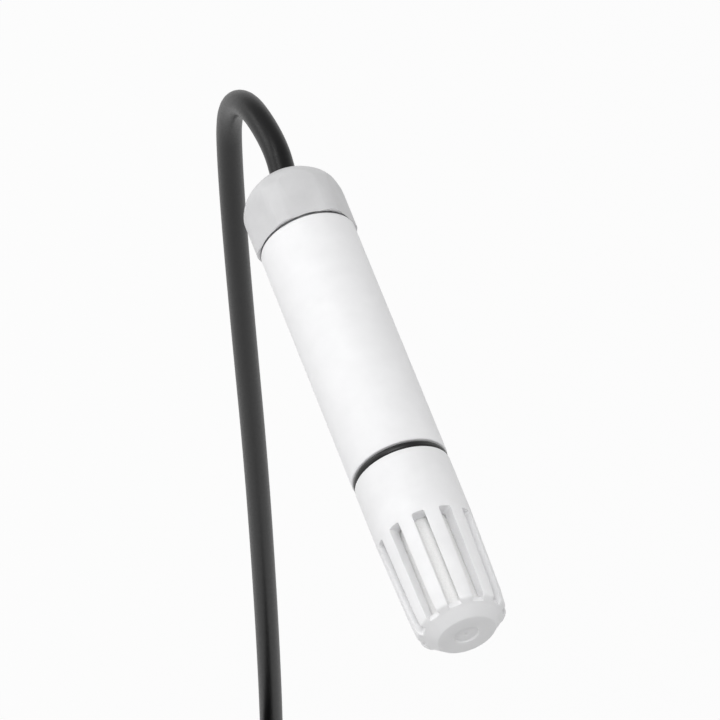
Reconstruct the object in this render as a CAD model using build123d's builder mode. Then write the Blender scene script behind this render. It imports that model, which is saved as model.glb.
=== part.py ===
"""Slotted temperature and humidity probe on a black cable, built piece by piece."""
import math
import os

from build123d import *

os.makedirs("parts", exist_ok=True)

# Sizes are in millimetres. The probe lies along Y. Its tip points to -Y, its cable leaves to +Y
# and then hangs down. The origin is on the axis, at the middle of the body's plain stretch,
# which is the stretch that a clip or a clamp holds.

# Clearances shared by many pieces
thread_clearance = 0.08
seat_gap = 0.05
face_gap = 0.15
cut_overrun = 1.0

# Body tube
body_radius = 8.0
body_length = 46.0
body_edge = 0.25
thread_step = 1.5
spigot_wall = 1.1
spigot_length = 8.0
neck_length = 7.0
thread_chamfer = 0.4
rear_wall = 2.6
rear_wall_depth = 0.5
cable_hole_gap = 0.2

# Seal ring between the tube and the cap
ring_width = 1.35
ring_recess = 0.12

# Slotted filter cap
cap_length = 30.75
cap_plain_length = 10.6
cap_rim_step = 0.05
cap_tip_step = 0.55
cap_edge = 0.2
cap_wall = 1.8
cap_end_wall = 2.2
bevel_length = 2.2
end_disc_radius = 4.2
end_recess_radius = 1.9
end_recess_depth = 0.2
gate_mark_radius = 0.45
gate_mark_depth = 0.4
slot_count = 11
slot_width = 2.05
slot_start = 11.75
first_slot_angle = 101.6

# Porous sleeve inside the cap
sleeve_gap = 0.2
sleeve_wall = 0.7
sleeve_end_gap = 0.3
sleeve_round = 1.4
flange_thickness = 0.8
flange_gap = 0.15

# Circuit boards
board_thickness = 1.0
board_groove_depth = 0.1
board_groove_gap = 0.1
board_joint_gap = 0.3
sensor_board_side_gap = 0.75
sensor_board_end_gap = 1.2
board_corner = 0.6
relief_slot_width = 0.8
relief_slot_length = 4.6
relief_slot_inset = 1.3
relief_slot_end = 1.0
holder_thickness = 2.3
holder_inset = 0.4
holder_edge = 0.3

# Parts on the boards
sensor_side = 3.0
sensor_height = 1.1
sensor_window_radius = 0.7
sensor_window_depth = 0.5
sensor_end_inset = 3.6
pin_side = 0.5
pin_length = 4.2
pin_pitch = 1.27
pin_count = 4
small_chip_length = 1.6
small_chip_width = 0.8
small_chip_height = 0.8
end_cap_length = 0.3
resistor_height = 0.5
lead_thickness = 0.15
lead_width = 0.3
lead_foot = 0.6
lead_stand = 0.35
chip_standoff = 0.1
chip_edge = 0.15
controller_length = 4.9
controller_width = 3.9
controller_height = 1.4
controller_pitch = 0.635
controller_pins = 8
transceiver_length = 4.9
transceiver_width = 3.9
transceiver_height = 1.5
transceiver_pitch = 1.27
transceiver_pins = 4
regulator_length = 4.5
regulator_width = 2.5
regulator_height = 1.5
regulator_pitch = 1.5
regulator_pins = 3
tantalum_length = 3.5
tantalum_width = 2.8
tantalum_height = 1.9
diode_length = 4.3
diode_width = 2.6
diode_height = 2.1
tab_thickness = 0.25
tab_width_share = 0.6
crystal_length = 5.0
crystal_width = 3.2
crystal_height = 1.2
crystal_lid_inset = 0.3
crystal_lid_height = 0.3
crystal_corner = 0.4

# Rows of small chips along both edges of the main board, as shares of its length
row_inset = 0.75
capacitor_place_shares = (0.12, 0.22, 0.34, 0.46, 0.58, 0.79)
resistor_place_shares = (0.14, 0.25, 0.37, 0.49, 0.61, 0.76)

# Cores of the cable inside the tube
core_radius = 0.5
core_gap = 0.07
core_run = 5.8
pad_pitch = 2.0
pad_inset = 2.0
solder_radius = 0.7
solder_height = 0.9
solder_bevel = 0.25
core_straight = 0.8
core_landing = 1.8
core_angles = (225, 135, 45, 315)
wire_names = ("wire_supply", "wire_ground", "wire_data_a", "wire_data_b")

# Cable
cable_diameter = 4.3
tail_stub = 0.2
stop_width = 2.2
stop_thickness = 0.9
stop_head = 2.6

# Gland
collet_wall = 1.1
collet_reach = 2.4
collet_ring_length = 5.25
finger_taper = 0.55
finger_count = 8
finger_slit = 0.7
seal_wall = 1.35
seal_inset = 0.2
seal_lead = 0.4
washer_thickness = 0.8
washer_width = 1.7
mouth_gap = 1.15
nut_wall = 1.22
nut_corner_stand = 1.1
nut_corner_round = 1.2
nut_end_wall = 3.4
nut_seat_gap = 0.3
nut_dome = 4.0
nut_foot_chamfer = 0.5
nut_foot_chamfer_rise = 0.9
nut_mouth_chamfer = 0.4
nut_thread_runout = 1.1
nut_corner_angle = 57.8

# Route of the free cable down to the tie, measured from the seal's outer face: chosen by hand
cable_steps = [
    (0.0, 0.0, 0.0),
    (0.0, 4.0, 0.0),
    (0.8, 12.1, 0.3),
    (0.4, 21.4, -2.8),
    (-0.2, 28.4, -9.5),
    (-0.3, 32.2, -18.9),
    (-0.2, 32.5, -31.0),
    (0.2, 32.1, -50.0),
    (1.3, 31.9, -80.0),
    (3.2, 32.0, -124.0),
    (4.6, 32.4, -170.0),
    (5.2, 32.3, -206.0),
    (5.2, 32.3, -225.5),
]

# Put-away coil, tied where its ends pass it
coil_radius = 24.0
coil_turns = 2
coil_gap = 0.6
biarcs_per_turn = 4
gap_samples = 400
tie_height = 6.0
tie_thickness = 0.9
tie_gap = 0.45
tie_twist_radius = 1.3
tie_twist_length = 7.0
tie_twist_round = 0.6

# End stretch below the coil, its sleeve and its four leads
end_route_steps = [(0.0, 0.0, 0.0), (0.0, 0.0, -6.0), (-0.5, -0.9, -15.4), (-1.3, -1.3, -24.2)]
end_sleeve_wall = 0.5
end_sleeve_cover = 4.4
end_sleeve_reach = 3.6
end_sleeve_lip = 0.8
lead_straight = 4.6
lead_steps = [(0.5, 4.2), (1.4, 4.6), (1.7, 4.2)]
lead_spread_shares = (1.0, 0.65, 1.25, 0.85)
lead_names = ("lead_supply", "lead_ground", "lead_data_a", "lead_data_b")
collar_radius = 0.95
collar_length = 3.5
ferrule_radius = 0.5
ferrule_length = 7.0
ferrule_edge = 0.12

# Radii that follow from the sizes above
thread_radius = body_radius - thread_step
thread_bore_radius = thread_radius + thread_clearance
bore_radius = thread_radius - spigot_wall
cap_rim_radius = body_radius - cap_rim_step
cap_tip_radius = body_radius - cap_tip_step
cap_bore_radius = cap_tip_radius - cap_wall
sleeve_radius = cap_bore_radius - sleeve_gap
ring_outer_radius = body_radius - ring_recess
cable_radius = cable_diameter / 2
seal_radius = cable_radius + seal_wall
collet_bore_radius = seal_radius + seat_gap
neck_bore_radius = collet_bore_radius + collet_wall + seat_gap
mouth_radius = cable_radius + mouth_gap
washer_radius = mouth_radius + washer_width
nut_flat_radius = thread_bore_radius + nut_wall
nut_corner_radius = nut_flat_radius + nut_corner_stand
core_pitch_radius = (core_radius + core_gap) / math.sin(math.pi / len(wire_names))
coil_pitch = cable_diameter + coil_gap

# Places along the probe that follow
tube_front = -body_length / 2
tube_back = body_length / 2
spigot_front = tube_front - spigot_length
neck_back = tube_back + neck_length
rear_wall_back = tube_back + rear_wall_depth
rear_wall_front = rear_wall_back - rear_wall
cap_rim = tube_front - ring_width
cap_tip = cap_rim - cap_length
bevel_start = cap_tip + bevel_length
flange_back = spigot_front - seat_gap
flange_front = flange_back - flange_thickness
cap_shoulder = flange_front - flange_gap
cap_inner_end = cap_tip + cap_end_wall
sleeve_front = cap_inner_end + sleeve_end_gap
stop_back = rear_wall_front - 2 * seat_gap
tail_front = stop_back - stop_width - tail_stub
collet_front = rear_wall_back + seat_gap
collet_back = neck_back + collet_reach
finger_start = collet_front + collet_ring_length
seal_front = rear_wall_back + 2 * seat_gap
seal_back = collet_back - seal_inset
washer_back = collet_back + face_gap + washer_thickness
nut_front = tube_back + nut_seat_gap
nut_ceiling = washer_back + face_gap
nut_back = nut_ceiling + nut_end_wall
cable_route = [(x, seal_back + y, z) for x, y, z in cable_steps]

# Boards: the holder carries the sensor board, whose pins reach back to the main board
board_top = board_thickness / 2
holder_front = spigot_front + holder_inset
holder_back = holder_front + holder_thickness
pin_middle = holder_back + face_gap + pin_length / 2
main_board_front = pin_middle + board_joint_gap / 2
main_board_back = tail_front - core_run
main_board_length = main_board_back - main_board_front
main_board_width = 2 * (bore_radius + board_groove_depth)
row_offset = main_board_width / 2 - row_inset
sensor_board_back = pin_middle - board_joint_gap / 2
sensor_board_front = sleeve_front + sleeve_wall + sensor_board_end_gap
sensor_board_length = sensor_board_back - sensor_board_front
sensor_board_width = 2 * (sleeve_radius - sleeve_wall - sensor_board_side_gap)
pad_line = main_board_back - pad_inset
solder_line = pad_line - seat_gap - solder_radius

# The larger parts stand in a line along the main board, with equal gaps from the pins to the solder
line_lengths = {
    "microcontroller": controller_length,
    "crystal": crystal_width,
    "bus_transceiver": transceiver_length,
    "voltage_regulator": regulator_length,
    "bulk_capacitor": tantalum_width,
    "surge_diode": diode_width,
}
line_start = pin_middle + pin_length / 2
line_room = solder_line - solder_radius - line_start
line_gap = (line_room - sum(line_lengths.values())) / (len(line_lengths) + 1)
line_place = {}
reached = line_start
for line_name, line_length in line_lengths.items():
    line_place[line_name] = reached + line_gap + line_length / 2
    reached += line_gap + line_length


def section(y):
    """Plane across the probe at a place along Y, looking towards the tip."""
    return Plane.XZ.offset(-y)


def corner_radii(points):
    """Radius of each corner: 0.45 of the shorter run over the tangent of half the turn."""
    radii = []
    for before, here, after in zip(points, points[1:], points[2:]):
        first = Vector(*here) - Vector(*before)
        second = Vector(*after) - Vector(*here)
        half_turn = math.radians(first.get_angle(second)) / 2
        radii.append(0.45 * min(first.length, second.length) / math.tan(half_turn))
    return radii


def swept_tube(points, radius, name):
    """Round tube along straight runs joined by tangent arcs, with its volume checked."""
    with BuildPart() as tube:
        with BuildLine() as route:
            FilletPolyline(*points, radius=corner_radii(points))
        line = route.wire()
        with BuildSketch(Plane(origin=line @ 0, z_dir=line % 0)):
            Circle(radius)
        sweep(path=line)
    share = tube.part.volume / (math.pi * radius**2 * line.length)
    print(f"{name}: length {line.length:.1f}, volume over section times length {share:.4f}")
    return tube


# Body tube: a straight bore, a threaded spigot for the cap and a threaded neck for the nut
with BuildPart() as housing_tube:
    with BuildSketch(Plane.XY):
        with BuildLine():
            Polyline(
                (bore_radius, spigot_front),
                (thread_radius - thread_chamfer, spigot_front),
                (thread_radius, spigot_front + thread_chamfer),
                (thread_radius, tube_front),
                (body_radius - body_edge, tube_front),
                (body_radius, tube_front + body_edge),
                (body_radius, tube_back - body_edge),
                (body_radius - body_edge, tube_back),
                (thread_radius, tube_back),
                (thread_radius, neck_back - thread_chamfer),
                (thread_radius - thread_chamfer, neck_back),
                (neck_bore_radius, neck_back),
                (neck_bore_radius, rear_wall_back),
                (cable_radius + cable_hole_gap, rear_wall_back),
                (cable_radius + cable_hole_gap, rear_wall_front),
                (bore_radius, rear_wall_front),
                close=True,
            )
        make_face()
    revolve(axis=Axis.Y)
    with BuildSketch(section(main_board_back + board_groove_gap)):
        Rectangle(
            main_board_width + 2 * board_groove_gap,
            board_thickness + 2 * board_groove_gap,
        )
    extrude(amount=main_board_back - spigot_front + cut_overrun, mode=Mode.SUBTRACT)
housing_tube.part.label = "housing_tube"
export_step(housing_tube.part, "parts/housing_tube.step")

# Seal ring, squeezed to an oval between the tube and the cap
with BuildPart() as o_ring:
    with BuildSketch(Plane.XY):
        with Locations(((ring_outer_radius + thread_bore_radius) / 2, tube_front - ring_width / 2)):
            Ellipse((ring_outer_radius - thread_bore_radius) / 2, ring_width / 2 - seat_gap)
    revolve(axis=Axis.Y)
o_ring.part.label = "o_ring"
export_step(o_ring.part, "parts/o_ring.step")

# Filter cap: a threaded rim, eleven slots and a bevelled tip with a small end disc
with BuildPart() as filter_cap:
    with BuildSketch(Plane.XY):
        with BuildLine():
            Polyline(
                (thread_bore_radius, cap_rim),
                (cap_rim_radius - cap_edge, cap_rim),
                (cap_rim_radius, cap_rim - cap_edge),
                (cap_rim_radius, cap_rim - cap_plain_length),
                (cap_tip_radius, bevel_start),
                (end_disc_radius, cap_tip),
                (end_recess_radius, cap_tip),
                (end_recess_radius, cap_tip + end_recess_depth),
                (gate_mark_radius, cap_tip + end_recess_depth),
                (0, cap_tip + end_recess_depth + gate_mark_depth),
                (0, cap_inner_end),
                (cap_bore_radius, cap_inner_end),
                (cap_bore_radius, cap_shoulder),
                (thread_bore_radius, cap_shoulder),
                close=True,
            )
        make_face()
    revolve(axis=Axis.Y)
    with BuildSketch(section(cap_rim - slot_start)):
        with PolarLocations((end_disc_radius + body_radius) / 2, slot_count, start_angle=first_slot_angle):
            Rectangle(body_radius - end_disc_radius, slot_width)
    extrude(amount=cap_length - slot_start + cut_overrun, mode=Mode.SUBTRACT)
filter_cap.part.label = "filter_cap"
export_step(filter_cap.part, "parts/filter_cap.step")

# Porous sleeve: a thimble over the sensor, held by its flange between the spigot and the cap
with BuildPart() as filter_sleeve:
    with BuildSketch(Plane.XY) as sleeve_profile:
        with BuildLine():
            Polyline(
                (sleeve_radius - sleeve_wall, flange_back),
                (thread_radius - thread_chamfer, flange_back),
                (thread_radius - thread_chamfer, flange_front),
                (sleeve_radius, flange_front),
                (sleeve_radius, sleeve_front),
                (0, sleeve_front),
                (0, sleeve_front + sleeve_wall),
                (sleeve_radius - sleeve_wall, sleeve_front + sleeve_wall),
                close=True,
            )
        make_face()
        outer_corner = sleeve_profile.vertices().group_by(Axis.Y)[0].sort_by(Axis.X)[-1]
        fillet(outer_corner, sleeve_round)
        inner_corner = sleeve_profile.vertices().filter_by_position(
            Axis.X, sleeve_radius - sleeve_wall - seat_gap, sleeve_radius - sleeve_wall + seat_gap
        ).sort_by(Axis.Y)[0]
        fillet(inner_corner, sleeve_round - sleeve_wall)
    revolve(axis=Axis.Y)
filter_sleeve.part.label = "filter_sleeve"
export_step(filter_sleeve.part, "parts/filter_sleeve.step")

# Holder: a plug in the spigot's mouth, slotted for the sensor board
with BuildPart() as board_holder:
    with BuildSketch(section(holder_back)):
        Circle(bore_radius - seat_gap)
        Rectangle(
            sensor_board_width + 2 * seat_gap,
            board_thickness + 2 * seat_gap,
            mode=Mode.SUBTRACT,
        )
    extrude(amount=holder_thickness)
    rim = board_holder.edges().filter_by(GeomType.CIRCLE).group_by(Axis.Y)
    chamfer(rim[0] + rim[-1], holder_edge)
board_holder.part.label = "board_holder"
export_step(board_holder.part, "parts/board_holder.step")

# Sensor board: a narrow tongue with a milled slot on each side of the sensor
with BuildPart() as sensor_board:
    with BuildSketch(Plane.XY.offset(-board_top)) as tongue:
        with Locations((0, (sensor_board_front + sensor_board_back) / 2)):
            Rectangle(sensor_board_width, sensor_board_length)
        fillet(tongue.vertices().group_by(Axis.Y)[0], board_corner)
        with Locations((0, sensor_board_front + relief_slot_end + relief_slot_length / 2)):
            with GridLocations(sensor_board_width - 2 * relief_slot_inset, 0, 2, 1):
                SlotOverall(relief_slot_length, relief_slot_width, rotation=90, mode=Mode.SUBTRACT)
    extrude(amount=board_thickness)
sensor_board.part.label = "sensor_board"
export_step(sensor_board.part, "parts/sensor_board.step")

# Main board, held by its long edges in the grooves of the tube
with BuildPart() as main_board:
    with BuildSketch(Plane.XY.offset(-board_top)) as plate:
        with Locations((0, (main_board_front + main_board_back) / 2)):
            Rectangle(main_board_width, main_board_length)
        fillet(plate.vertices(), board_corner)
    extrude(amount=board_thickness)
main_board.part.label = "main_board"
export_step(main_board.part, "parts/main_board.step")

# Humidity and temperature sensor, open through a round window
with BuildPart() as sensor_chip:
    with BuildSketch(Plane.XY.offset(board_top)):
        with Locations((0, sensor_board_front + sensor_end_inset)):
            Rectangle(sensor_side, sensor_side)
    extrude(amount=sensor_height)
    chamfer(sensor_chip.edges().group_by(Axis.Z)[-1], chip_edge)
    with BuildSketch(Plane.XY.offset(board_top + sensor_height)):
        with Locations((0, sensor_board_front + sensor_end_inset)):
            Circle(sensor_window_radius)
    extrude(amount=-sensor_window_depth, mode=Mode.SUBTRACT)
sensor_chip.part.label = "sensor_chip"
export_step(sensor_chip.part, "parts/sensor_chip.step")


def small_chips(places, height):
    """Small two-ended chips on a board: each a body between two slightly larger end caps."""
    with BuildPart() as chips:
        with BuildSketch(Plane.XY.offset(board_top)):
            with Locations(*places):
                Rectangle(small_chip_width - chip_edge, small_chip_length - end_cap_length)
        extrude(amount=height - chip_edge)
        with BuildSketch(Plane.XY.offset(board_top)):
            with Locations(*places):
                with GridLocations(0, small_chip_length - end_cap_length, 1, 2):
                    Rectangle(small_chip_width, end_cap_length)
        extrude(amount=height)
    return chips


def leaded_chip(x, y, length, width, height, pitch, pins):
    """Moulded chip on two rows of bent leads, its length along Y."""
    with BuildPart() as chip:
        with BuildSketch(Plane.XY.offset(board_top + chip_standoff)):
            with Locations((x, y)):
                Rectangle(width, length)
        extrude(amount=height - chip_standoff)
        chamfer(chip.edges().group_by(Axis.Z)[-1], chip_edge)
        middle = board_top + height / 2
        root = width / 2 - chip_edge
        knee = width / 2 + lead_stand
        toe = knee + lead_foot
        with BuildSketch(section(y + lead_width / 2)):
            with BuildLine():
                Polyline(
                    (x + root, middle),
                    (x + root, middle + lead_thickness),
                    (x + knee, middle + lead_thickness),
                    (x + knee, board_top + lead_thickness),
                    (x + toe, board_top + lead_thickness),
                    (x + toe, board_top),
                    (x + knee - lead_thickness, board_top),
                    (x + knee - lead_thickness, middle),
                    close=True,
                )
            make_face()
            mirror(about=Plane.YZ.offset(x))
        lead_pair = extrude(amount=lead_width, mode=Mode.PRIVATE)
        with GridLocations(0, pitch, 1, pins):
            add(lead_pair)
    return chip


def tabbed_block(x, y, length, width, height):
    """Moulded block with a flat metal tab folded up at each end, its length along X."""
    with BuildPart() as block:
        with BuildSketch(Plane.XY.offset(board_top + tab_thickness)):
            with Locations((x, y)):
                Rectangle(length - 2 * tab_thickness, width)
        extrude(amount=height - tab_thickness)
        chamfer(block.edges().group_by(Axis.Z)[-1], chip_edge)
        with BuildSketch(Plane.XY.offset(board_top)):
            with Locations((x, y)):
                with GridLocations(length - small_chip_width, 0, 2, 1):
                    Rectangle(small_chip_width, width * tab_width_share)
        extrude(amount=tab_thickness)
        with BuildSketch(Plane.XY.offset(board_top)):
            with Locations((x, y)):
                with GridLocations(length - tab_thickness, 0, 2, 1):
                    Rectangle(tab_thickness, width * tab_width_share)
        extrude(amount=height / 2)
    return block


# Metal can of the clock crystal
with BuildPart() as crystal:
    with BuildSketch(Plane.XY.offset(board_top)):
        with Locations((0, line_place["crystal"])):
            Rectangle(crystal_length, crystal_width)
    extrude(amount=crystal_height - crystal_lid_height)
    with BuildSketch(Plane.XY.offset(board_top + crystal_height - crystal_lid_height)):
        with Locations((0, line_place["crystal"])):
            Rectangle(crystal_length - 2 * crystal_lid_inset, crystal_width - 2 * crystal_lid_inset)
    extrude(amount=crystal_lid_height)
    fillet(crystal.edges().filter_by(Axis.Z), crystal_corner)
crystal.part.label = "crystal"
export_step(crystal.part, "parts/crystal.step")

# Chips beside the sensor and on the main board
sensor_capacitor_place = sensor_board_front + sensor_end_inset + sensor_side / 2 + 2 * small_chip_length
sensor_capacitor = small_chips([(0, sensor_capacitor_place)], small_chip_height)
sensor_capacitor.part.label = "sensor_capacitor"
export_step(sensor_capacitor.part, "parts/sensor_capacitor.step")

capacitor_spots = [
    (row_offset, main_board_front + share * main_board_length) for share in capacitor_place_shares
]
ceramic_capacitors = small_chips(capacitor_spots, small_chip_height)
ceramic_capacitors.part.label = "ceramic_capacitors"
export_step(ceramic_capacitors.part, "parts/ceramic_capacitors.step")

resistor_spots = [
    (-row_offset, main_board_front + share * main_board_length) for share in resistor_place_shares
]
resistors = small_chips(resistor_spots, resistor_height)
resistors.part.label = "resistors"
export_step(resistors.part, "parts/resistors.step")

microcontroller = leaded_chip(
    0, line_place["microcontroller"],
    controller_length, controller_width, controller_height, controller_pitch, controller_pins,
)
microcontroller.part.label = "microcontroller"
export_step(microcontroller.part, "parts/microcontroller.step")

bus_transceiver = leaded_chip(
    0, line_place["bus_transceiver"],
    transceiver_length, transceiver_width, transceiver_height, transceiver_pitch, transceiver_pins,
)
bus_transceiver.part.label = "bus_transceiver"
export_step(bus_transceiver.part, "parts/bus_transceiver.step")

voltage_regulator = leaded_chip(
    0, line_place["voltage_regulator"],
    regulator_length, regulator_width, regulator_height, regulator_pitch, regulator_pins,
)
voltage_regulator.part.label = "voltage_regulator"
export_step(voltage_regulator.part, "parts/voltage_regulator.step")

bulk_capacitor = tabbed_block(
    0, line_place["bulk_capacitor"],
    tantalum_length, tantalum_width, tantalum_height,
)
bulk_capacitor.part.label = "bulk_capacitor"
export_step(bulk_capacitor.part, "parts/bulk_capacitor.step")

surge_diode = tabbed_block(
    0, line_place["surge_diode"],
    diode_length, diode_width, diode_height,
)
surge_diode.part.label = "surge_diode"
export_step(surge_diode.part, "parts/surge_diode.step")

# Pins that join the two boards
with BuildPart() as link_pins:
    with BuildSketch(Plane.XY.offset(board_top)):
        with Locations((0, pin_middle)):
            with GridLocations(pin_pitch, 0, pin_count, 1):
                Rectangle(pin_side, pin_length)
    extrude(amount=pin_side)
link_pins.part.label = "link_pins"
export_step(link_pins.part, "parts/link_pins.step")

# Cores of the cable inside the tube: from the end of the jacket down to their pads
core_height = board_top + core_radius + seat_gap
for number, (wire_name, core_angle) in enumerate(zip(wire_names, core_angles)):
    start_x = core_pitch_radius * math.cos(math.radians(core_angle))
    start_z = core_pitch_radius * math.sin(math.radians(core_angle))
    pad_x = pad_pitch * (number - (len(wire_names) - 1) / 2)
    core_route = [
        (start_x, tail_front, start_z),
        (start_x, tail_front - core_straight, start_z),
        (pad_x, main_board_back + core_landing, core_height),
        (pad_x, pad_line, core_height),
    ]
    wire = swept_tube(core_route, core_radius, wire_name)
    wire.part.label = wire_name
    export_step(wire.part, f"parts/{wire_name}.step")

# Solder domes that hold the cores to their pads
with BuildPart() as solder_joints:
    with BuildSketch(Plane.XY.offset(board_top)):
        with Locations((0, solder_line)):
            with GridLocations(pad_pitch, 0, len(wire_names), 1):
                Circle(solder_radius)
    extrude(amount=solder_height)
    chamfer(solder_joints.edges().group_by(Axis.Z)[-1], solder_bevel)
solder_joints.part.label = "solder_joints"
export_step(solder_joints.part, "parts/solder_joints.step")

# Jacket of the cable inside the gland, and the stop that keeps it from pulling out
with BuildPart() as cable_tail:
    with BuildSketch(section(seal_back)):
        Circle(cable_radius)
    extrude(amount=seal_back - tail_front)
cable_tail.part.label = "cable_tail"
export_step(cable_tail.part, "parts/cable_tail.step")

with BuildPart() as cable_stop:
    stop_radius = cable_radius + seat_gap + stop_thickness
    with BuildSketch(section(stop_back)):
        Circle(stop_radius)
        with Locations((0, -stop_radius)):
            Rectangle(stop_head, stop_thickness)
        Circle(cable_radius + seat_gap, mode=Mode.SUBTRACT)
    extrude(amount=stop_width)
cable_stop.part.label = "cable_stop"
export_step(cable_stop.part, "parts/cable_stop.step")

# Gland: a rubber seal on the cable, a collet of fingers round it, a washer and the nut
with BuildPart() as gland_seal:
    with BuildSketch(section(seal_back)):
        Circle(seal_radius)
        Circle(cable_radius, mode=Mode.SUBTRACT)
    extrude(amount=seal_back - seal_front)
    seal_rims = gland_seal.edges().filter_by(GeomType.CIRCLE)
    outer_rims = seal_rims.sort_by(SortBy.RADIUS)[-2:]
    chamfer(outer_rims, seal_lead)
gland_seal.part.label = "gland_seal"
export_step(gland_seal.part, "parts/gland_seal.step")

with BuildPart() as gland_collet:
    with BuildSketch(Plane.XY):
        with BuildLine():
            Polyline(
                (collet_bore_radius, collet_front),
                (collet_bore_radius + collet_wall, collet_front),
                (collet_bore_radius + collet_wall, neck_back),
                (collet_bore_radius + collet_wall - finger_taper, collet_back),
                (collet_bore_radius, collet_back),
                close=True,
            )
        make_face()
    revolve(axis=Axis.Y)
    with BuildSketch(section(collet_back)):
        with PolarLocations(neck_bore_radius, finger_count):
            Rectangle(neck_bore_radius, finger_slit)
    extrude(amount=collet_back - finger_start, mode=Mode.SUBTRACT)
gland_collet.part.label = "gland_collet"
export_step(gland_collet.part, "parts/gland_collet.step")

with BuildPart() as thrust_washer:
    with BuildSketch(section(washer_back)):
        Circle(washer_radius)
        Circle(mouth_radius, mode=Mode.SUBTRACT)
    extrude(amount=washer_thickness)
thrust_washer.part.label = "thrust_washer"
export_step(thrust_washer.part, "parts/thrust_washer.step")

# Gland nut: a hexagon rounded over to a dome, with the thread's bore inside
with BuildPart() as gland_nut:
    with BuildSketch(section(nut_back)) as hexagon:
        RegularPolygon(nut_flat_radius, 6, major_radius=False, rotation=nut_corner_angle)
        fillet(hexagon.vertices(), nut_corner_round)
    extrude(amount=nut_back - nut_front)
    with BuildSketch(Plane.XY):
        with BuildLine():
            nut_side = Line(
                (nut_corner_radius, nut_front + nut_foot_chamfer_rise),
                (nut_corner_radius, nut_back - nut_dome),
            )
            RadiusArc(nut_side @ 1, (nut_corner_radius - nut_dome, nut_back), -nut_dome)
            Polyline(
                (nut_corner_radius - nut_dome, nut_back),
                (0, nut_back),
                (0, nut_front),
                (nut_corner_radius - nut_foot_chamfer, nut_front),
                (nut_corner_radius, nut_front + nut_foot_chamfer_rise),
            )
        make_face()
    revolve(axis=Axis.Y, mode=Mode.INTERSECT)
    with BuildSketch(Plane.XY):
        with BuildLine():
            Polyline(
                (0, nut_front - cut_overrun),
                (thread_bore_radius, nut_front - cut_overrun),
                (thread_bore_radius, neck_back + nut_thread_runout),
                (washer_radius + face_gap, nut_ceiling),
                (mouth_radius, nut_ceiling),
                (mouth_radius, nut_back - nut_mouth_chamfer),
                (mouth_radius + nut_mouth_chamfer, nut_back),
                (mouth_radius + nut_mouth_chamfer, nut_back + cut_overrun),
                (0, nut_back + cut_overrun),
                close=True,
            )
        make_face()
    revolve(axis=Axis.Y, mode=Mode.SUBTRACT)
gland_nut.part.label = "gland_nut"
export_step(gland_nut.part, "parts/gland_nut.step")

# Free cable, from the gland over its bend and down to the tie
for corner, radius in enumerate(corner_radii(cable_route), start=1):
    print(f"cable corner {corner}: radius {radius:.1f} mm, {radius / cable_diameter:.1f} diameters")
cable_free = swept_tube(cable_route, cable_radius, "cable_free")
cable_free.part.label = "cable_free"
export_step(cable_free.part, "parts/cable_free.step")


def coil_point(turn):
    """Point on the coil's middle line after so many turns, from the end of its straight start."""
    start_x, start_y, start_z = cable_route[-1]
    angle = 2 * math.pi * turn
    return Vector(
        start_x - coil_pitch * turn,
        start_y - coil_radius * (1 - math.cos(angle)),
        start_z - cable_diameter - coil_radius * math.sin(angle),
    )


def coil_direction(turn):
    """Direction of the coil's middle line: straight down at both ends, along the helix between."""
    if turn in (0, coil_turns):
        return Vector(0, 0, -1)
    angle = 2 * math.pi * turn
    return Vector(
        -coil_pitch / (2 * math.pi),
        -coil_radius * math.sin(angle),
        -coil_radius * math.cos(angle),
    ).normalized()


def biarc_joint(start, start_direction, end, end_direction):
    """Point where two equal-tangent arcs meet between two places with given directions."""
    chord = end - start
    both = start_direction + end_direction
    square = 2 * (1 - start_direction.dot(end_direction))
    reach = (-chord.dot(both) + math.sqrt(chord.dot(both) ** 2 + square * chord.dot(chord))) / square
    return (start + start_direction * reach + end - end_direction * reach) * 0.5


# Put-away coil: two turns side by side, each quarter turn a pair of tangent arcs
with BuildPart() as cable_coil:
    with BuildLine() as coil_line:
        coil_start = Vector(*cable_route[-1])
        Line(coil_start, coil_point(0))
        steps = [step / biarcs_per_turn for step in range(coil_turns * biarcs_per_turn + 1)]
        for here, there in zip(steps, steps[1:]):
            start, start_direction = coil_point(here), coil_direction(here)
            end, end_direction = coil_point(there), coil_direction(there)
            joint = biarc_joint(start, start_direction, end, end_direction)
            first_arc = TangentArc(start, joint, tangent=start_direction)
            TangentArc(joint, end, tangent=first_arc % 1)
        coil_end = coil_point(coil_turns) + Vector(0, 0, -cable_diameter)
        Line(coil_point(coil_turns), coil_end)
    with BuildSketch(Plane(origin=coil_start, z_dir=(0, 0, -1))):
        Circle(cable_radius)
    sweep(path=coil_line.wire())
cable_coil.part.label = "cable_coil"
export_step(cable_coil.part, "parts/cable_coil.step")

# Least gap of the coil to itself, on points a little apart along its line
coil_wire = coil_line.wire()
samples = [coil_wire.position_at(number / gap_samples) for number in range(gap_samples + 1)]
half_turn_samples = gap_samples // (2 * coil_turns)
least = min(
    (samples[first] - samples[second]).length
    for first in range(gap_samples + 1)
    for second in range(first + half_turn_samples, gap_samples + 1)
)
coil_share = cable_coil.part.volume / (math.pi * cable_radius**2 * coil_wire.length)
print(f"cable_coil: length {coil_wire.length:.1f}, least gap to itself {least - cable_diameter:.2f}")
print(f"cable_coil: volume over section times length {coil_share:.4f}")

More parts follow.
